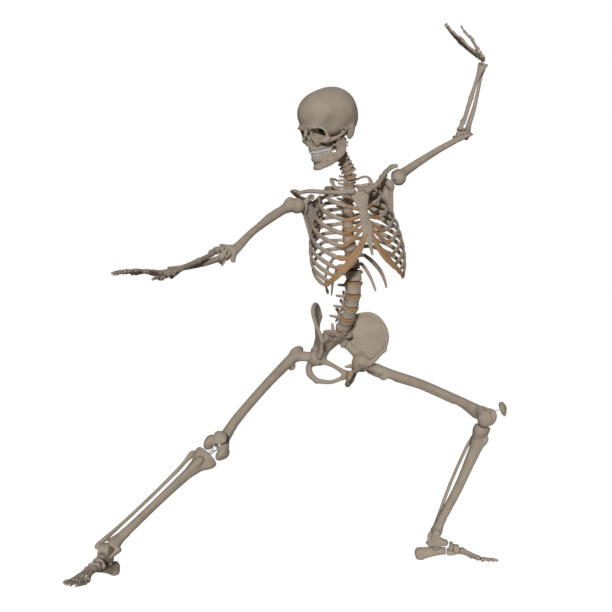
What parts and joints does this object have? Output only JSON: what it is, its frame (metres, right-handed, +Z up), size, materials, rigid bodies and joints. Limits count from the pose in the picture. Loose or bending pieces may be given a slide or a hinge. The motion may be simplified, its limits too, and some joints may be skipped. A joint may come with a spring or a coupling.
{
  "type": "human skeleton model",
  "caption": "Life-size articulated human skeleton model in a wide lunge, one arm raised and the other held out, head turned to its right.",
  "frame": {"origin": "centre of the bounding box at floor level, under the standing skeleton", "axes": "+Z up; -Y is the side the figure is seen from; +X is towards the raised arm"},
  "size_m": [1.1628, 0.8444, 1.6613],
  "materials": {
    "bone": "matte",
    "cartilage": "satin",
    "enamel": "gloss",
    "steel": "satin"
  },
  "bodies": {
    "atlas": {"atlas_vertebra": "bone"},
    "neck": {"axis_vertebra": "bone", "cervical_vertebrae": "bone"},
    "head": {"cranium": "bone", "upper_teeth": "enamel"},
    "left_foot": {"left_calcaneus": "bone", "left_forefoot": "bone"},
    "thorax": {"left_clavicle": "bone", "left_scapula": "bone", "rib_cage": "bone", "right_clavicle": "bone", "right_scapula": "bone", "sternum_and_costal_cartilage": "cartilage"},
    "left_thigh": {"left_femur": "bone", "left_patella": "bone"},
    "left_shin": {"left_fibula": "bone", "left_knee_hinge": "steel", "left_tibia": "bone"},
    "pelvis": {"left_hip_bone": "bone", "pubic_symphysis": "cartilage", "right_hip_bone": "bone", "sacrum_and_coccyx": "bone"},
    "left_hip_stud": {"left_hip_stud": "steel"},
    "left_upper_arm": {"left_humerus": "bone"},
    "left_index": {"left_index_finger": "bone"},
    "left_little": {"left_little_finger": "bone"},
    "left_middle": {"left_middle_finger": "bone"},
    "left_hand": {"left_palm": "bone"},
    "left_radius": {"left_radius": "bone"},
    "left_ring": {"left_ring_finger": "bone"},
    "left_shoulder_stud": {"left_shoulder_stud": "steel"},
    "left_talus": {"left_talus": "bone"},
    "left_thumb": {"left_thumb": "bone"},
    "left_ulna": {"left_ulna": "bone"},
    "jaw": {"lower_teeth": "enamel", "mandible": "bone"},
    "lumbar": {"lumbar_vertebra_1": "bone", "lumbar_vertebra_2": "bone", "lumbar_vertebra_3": "bone", "lumbar_vertebra_4": "bone", "lumbar_vertebra_5": "bone"},
    "right_foot": {"right_calcaneus": "bone", "right_forefoot": "bone"},
    "right_thigh": {"right_femur": "bone", "right_patella": "bone"},
    "right_shin": {"right_fibula": "bone", "right_knee_hinge": "steel", "right_tibia": "bone"},
    "right_hip_stud": {"right_hip_stud": "steel"},
    "right_upper_arm": {"right_humerus": "bone"},
    "right_index": {"right_index_finger": "bone"},
    "right_little": {"right_little_finger": "bone"},
    "right_middle": {"right_middle_finger": "bone"},
    "right_hand": {"right_palm": "bone"},
    "right_radius": {"right_radius": "bone"},
    "right_ring": {"right_ring_finger": "bone"},
    "right_shoulder_stud": {"right_shoulder_stud": "steel"},
    "right_talus": {"right_talus": "bone"},
    "right_thumb": {"right_thumb": "bone"},
    "right_ulna": {"right_ulna": "bone"}
  },
  "joints": [
    {"name": "waist_bend", "type": "hinge", "parent": "pelvis", "child": "lumbar", "pos_m": [0.11695, 0.30231, 0.68274], "axis": [0.8753, 0.4758, 0.0871], "range_deg": [-12, 12]},
    {"name": "waist_twist", "type": "hinge", "parent": "lumbar", "child": "thorax", "pos_m": [0.14679, 0.21871, 0.83941], "axis": [-0.0694, -0.268, 0.9609], "range_deg": [-15, 15]},
    {"name": "neck_bend", "type": "hinge", "parent": "thorax", "child": "neck", "pos_m": [0.1339, 0.12733, 1.09606], "axis": [0.9516, 0.2714, 0.1444], "range_deg": [-10, 15]},
    {"name": "head_turn", "type": "hinge", "parent": "neck", "child": "atlas", "pos_m": [0.09464, 0.05749, 1.16498], "axis": [-0.3614, -0.5793, 0.7307], "range_deg": [-20, 60]},
    {"name": "head_nod", "type": "hinge", "parent": "atlas", "child": "head", "pos_m": [0.08633, 0.04417, 1.18178], "axis": [0.6326, -0.7402, -0.228], "range_deg": [-3, 12]},
    {"name": "jaw_open", "type": "hinge", "parent": "head", "child": "jaw", "pos_m": [0.07329, 0.02853, 1.19638], "axis": [0.6326, -0.7402, -0.228], "range_deg": [0, 18]},
    {"name": "left_shoulder_swing", "type": "hinge", "parent": "thorax", "child": "left_shoulder_stud", "pos_m": [0.27788, 0.18701, 1.10853], "axis": [0.7699, -0.4032, 0.4946], "range_deg": [-25, 25]},
    {"name": "left_shoulder_raise", "type": "hinge", "parent": "left_shoulder_stud", "child": "left_upper_arm", "pos_m": [0.27788, 0.18701, 1.10853], "axis": [0.5849, 0.1358, -0.7997], "range_deg": [-14, 14]},
    {"name": "left_elbow_bend", "type": "hinge", "parent": "left_upper_arm", "child": "left_ulna", "pos_m": [0.49126, 0.32295, 1.28767], "axis": [-0.6923, 0.7099, 0.1294], "range_deg": [-50, 32]},
    {"name": "left_forearm_twist", "type": "hinge", "parent": "left_ulna", "child": "left_radius", "pos_m": [0.56595, 0.33361, 1.51285], "axis": [-0.3574, 0.0004, -0.934], "range_deg": [-20, 40]},
    {"name": "left_wrist_bend", "type": "hinge", "parent": "left_radius", "child": "left_hand", "pos_m": [0.56458, 0.30963, 1.52403], "axis": [-0.3044, -0.9519, 0.0351], "range_deg": [-30, 30]},
    {"name": "left_thumb_bend", "type": "hinge", "parent": "left_hand", "child": "left_thumb", "pos_m": [0.52218, 0.28116, 1.58109], "axis": [0.7036, 0.5351, 0.4675], "range_deg": [-15, 30]},
    {"name": "left_index_bend", "type": "hinge", "parent": "left_hand", "child": "left_index", "pos_m": [0.49693, 0.30851, 1.59082], "axis": [0.3044, 0.9519, -0.0351], "range_deg": [-15, 60]},
    {"name": "left_middle_bend", "type": "hinge", "parent": "left_hand", "child": "left_middle", "pos_m": [0.50145, 0.32493, 1.59094], "axis": [0.3044, 0.9519, -0.0351], "range_deg": [-15, 60]},
    {"name": "left_ring_bend", "type": "hinge", "parent": "left_hand", "child": "left_ring", "pos_m": [0.5096, 0.33898, 1.5868], "axis": [0.3044, 0.9519, -0.0351], "range_deg": [-15, 60]},
    {"name": "left_little_bend", "type": "hinge", "parent": "left_hand", "child": "left_little", "pos_m": [0.51875, 0.3516, 1.58125], "axis": [0.3044, 0.9519, -0.0351], "range_deg": [-15, 60]},
    {"name": "left_hip_swing", "type": "hinge", "parent": "pelvis", "child": "left_hip_stud", "pos_m": [0.17588, 0.35996, 0.57484], "axis": [0.802, 0.5948, -0.0551], "range_deg": [-20, 60]},
    {"name": "left_hip_spread", "type": "hinge", "parent": "left_hip_stud", "child": "left_thigh", "pos_m": [0.17588, 0.35996, 0.57484], "axis": [-0.2903, 0.3076, -0.9061], "range_deg": [-14, 14]},
    {"name": "left_knee_bend", "type": "hinge", "parent": "left_thigh", "child": "left_shin", "pos_m": [0.52409, 0.20498, 0.41066], "axis": [0.4475, 0.8873, 0.1116], "range_deg": [-90, 20]},
    {"name": "left_ankle_bend", "type": "hinge", "parent": "left_shin", "child": "left_talus", "pos_m": [0.37924, 0.32116, 0.0677], "axis": [0.168, 0.9531, 0.2519], "range_deg": [-20, 20]},
    {"name": "left_foot_tilt", "type": "hinge", "parent": "left_talus", "child": "left_foot", "pos_m": [0.37924, 0.32116, 0.0677], "axis": [-0.9848, 0.1736, 0], "range_deg": [-12, 12]},
    {"name": "right_shoulder_swing", "type": "hinge", "parent": "thorax", "child": "right_shoulder_stud", "pos_m": [-0.01961, 0.10648, 1.00423], "axis": [0.6089, 0.7918, 0.0484], "range_deg": [-25, 25]},
    {"name": "right_shoulder_raise", "type": "hinge", "parent": "right_shoulder_stud", "child": "right_upper_arm", "pos_m": [-0.01961, 0.10648, 1.00423], "axis": [0.7722, -0.5777, -0.2646], "range_deg": [-14, 14]},
    {"name": "right_elbow_bend", "type": "hinge", "parent": "right_upper_arm", "child": "right_ulna", "pos_m": [-0.20937, -0.06863, 0.83268], "axis": [0.6495, -0.2305, -0.7246], "range_deg": [-78, 10]},
    {"name": "right_forearm_twist", "type": "hinge", "parent": "right_ulna", "child": "right_radius", "pos_m": [-0.34488, -0.24338, 0.7461], "axis": [0.5259, 0.7457, 0.4092], "range_deg": [-40, 8]},
    {"name": "right_wrist_bend", "type": "hinge", "parent": "right_radius", "child": "right_hand", "pos_m": [-0.32954, -0.26396, 0.73955], "axis": [-0.8173, 0.5756, 0.0274], "range_deg": [-30, 30]},
    {"name": "right_thumb_bend", "type": "hinge", "parent": "right_hand", "child": "right_thumb", "pos_m": [-0.33039, -0.33706, 0.71675], "axis": [0.5561, -0.4715, 0.6844], "range_deg": [-15, 30]},
    {"name": "right_index_bend", "type": "hinge", "parent": "right_hand", "child": "right_index", "pos_m": [-0.36286, -0.35254, 0.7304], "axis": [0.8173, -0.5756, -0.0274], "range_deg": [-15, 60]},
    {"name": "right_middle_bend", "type": "hinge", "parent": "right_hand", "child": "right_middle", "pos_m": [-0.37733, -0.34357, 0.73077], "axis": [0.8173, -0.5756, -0.0274], "range_deg": [-15, 60]},
    {"name": "right_ring_bend", "type": "hinge", "parent": "right_hand", "child": "right_ring", "pos_m": [-0.38753, -0.3303, 0.73167], "axis": [0.8173, -0.5756, -0.0274], "range_deg": [-15, 60]},
    {"name": "right_little_bend", "type": "hinge", "parent": "right_hand", "child": "right_little", "pos_m": [-0.39576, -0.31598, 0.73273], "axis": [0.8173, -0.5756, -0.0274], "range_deg": [-15, 60]},
    {"name": "right_hip_swing", "type": "hinge", "parent": "pelvis", "child": "right_hip_stud", "pos_m": [0.03553, 0.25587, 0.58448], "axis": [0.802, 0.5948, -0.0551], "range_deg": [-60, 8]},
    {"name": "right_hip_spread", "type": "hinge", "parent": "right_hip_stud", "child": "right_thigh", "pos_m": [0.03553, 0.25587, 0.58448], "axis": [-0.5887, 0.8026, 0.0963], "range_deg": [-14, 8]},
    {"name": "right_knee_bend", "type": "hinge", "parent": "right_thigh", "child": "right_shin", "pos_m": [-0.23911, 0.08568, 0.32403], "axis": [0.7332, -0.1794, -0.6559], "range_deg": [-4, 100]},
    {"name": "right_ankle_bend", "type": "hinge", "parent": "right_shin", "child": "right_talus", "pos_m": [-0.50106, -0.04765, 0.0677], "axis": [0.7394, -0.2546, -0.6232], "range_deg": [-20, 9]},
    {"name": "right_foot_tilt", "type": "hinge", "parent": "right_talus", "child": "right_foot", "pos_m": [-0.50106, -0.04765, 0.0677], "axis": [0.3256, 0.9455, 0], "range_deg": [-12, 12]}
  ]
}
